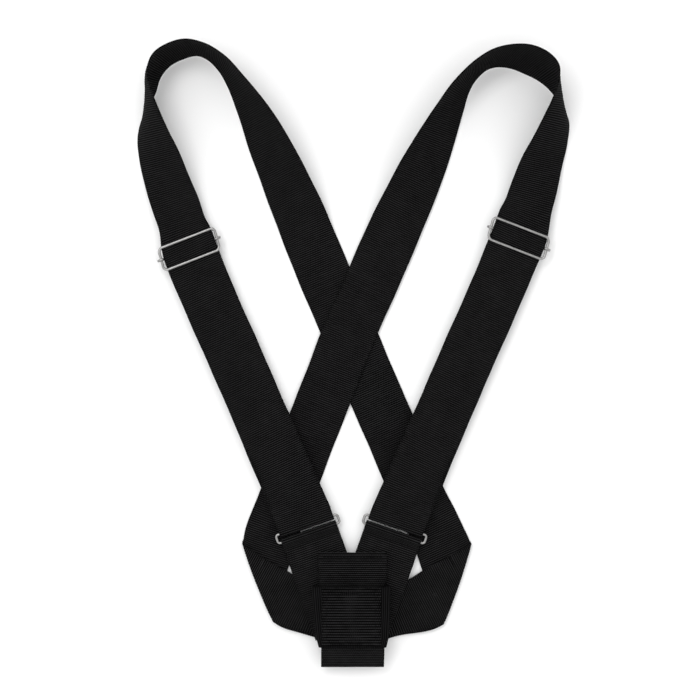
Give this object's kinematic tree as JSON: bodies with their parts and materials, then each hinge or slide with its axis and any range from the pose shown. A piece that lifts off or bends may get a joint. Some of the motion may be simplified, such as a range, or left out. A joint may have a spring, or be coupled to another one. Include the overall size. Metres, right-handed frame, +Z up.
{
  "type": "double-strap carrying harness",
  "caption": "Webbing harness laid flat: two shoulder straps that cross at the back, wire slides and rings, and a sewn cup that carries the butt of a pole.",
  "frame": {"origin": "on the ground under the middle of the harness's bounding box, as it lies flat", "axes": "+Z up, away from the ground and out of the front of the harness; +Y from the cup to the shoulder loops; +X to the viewer's right"},
  "size_m": [0.4099, 0.5881, 0.049],
  "materials": {
    "strap_webbing": "matte black ribbed webbing",
    "wide_webbing": "matte black ribbed webbing, heavier weave",
    "wire": "bright nickel-plated steel wire",
    "thread": "black sewing thread"
  },
  "bodies": {
    "root": {"cup_strip": "wide_webbing", "cup_band": "strap_webbing", "cup_patch": "wide_webbing", "cup_patch_stitching": "thread", "cup_hem_stitching": "thread", "left_shoulder_loop_front": "strap_webbing", "left_shoulder_loop_back": "strap_webbing", "left_front_run": "strap_webbing", "left_ring_turn": "strap_webbing", "left_under_strap": "strap_webbing", "left_waist_run": "strap_webbing", "left_back_run": "strap_webbing", "left_tab": "wide_webbing", "left_tab_stitching": "thread", "right_shoulder_loop_front": "strap_webbing", "right_shoulder_loop_back": "strap_webbing", "right_front_run": "strap_webbing", "right_ring_turn": "strap_webbing", "right_under_strap": "strap_webbing", "right_waist_run": "strap_webbing", "right_back_run": "strap_webbing", "right_tab": "wide_webbing", "right_tab_stitching": "thread"},
    "left_slide": {"left_slide_frame": "wire"},
    "left_strap_end": {"left_center_bar": "wire", "left_strap_end": "strap_webbing", "left_strap_end_stitching": "thread"},
    "left_ring": {"left_ring": "wire"},
    "right_slide": {"right_slide_frame": "wire"},
    "right_strap_end": {"right_center_bar": "wire", "right_strap_end": "strap_webbing", "right_strap_end_stitching": "thread"},
    "right_ring": {"right_ring": "wire"}
  },
  "joints": [
    {"name": "left_slide_travel", "type": "slide", "parent": "root", "child": "left_slide", "axis": [0.3987, -0.9171, 0], "range_m": [0, 0.2], "deforming": ["left_under_strap"]},
    {"name": "left_bar_play", "type": "slide", "parent": "left_slide", "child": "left_strap_end", "axis": [0.3616, -0.9323, 0], "range_m": [-0.0025, 0.0025]},
    {"name": "left_ring_rock", "type": "hinge", "parent": "root", "child": "left_ring", "pos_m": [-0.0398, -0.1695, 0.0061], "axis": [0.9444, 0.3289, 0], "range_deg": [-4, 4]},
    {"name": "right_slide_travel", "type": "slide", "parent": "root", "child": "right_slide", "axis": [-0.3987, -0.9171, 0], "range_m": [0, 0.2], "deforming": ["right_under_strap"]},
    {"name": "right_bar_play", "type": "slide", "parent": "right_slide", "child": "right_strap_end", "axis": [-0.3616, -0.9323, 0], "range_m": [-0.0025, 0.0025]},
    {"name": "right_ring_rock", "type": "hinge", "parent": "root", "child": "right_ring", "pos_m": [0.0398, -0.1695, 0.0061], "axis": [0.9444, -0.3289, 0], "range_deg": [-4, 4]}
  ]
}
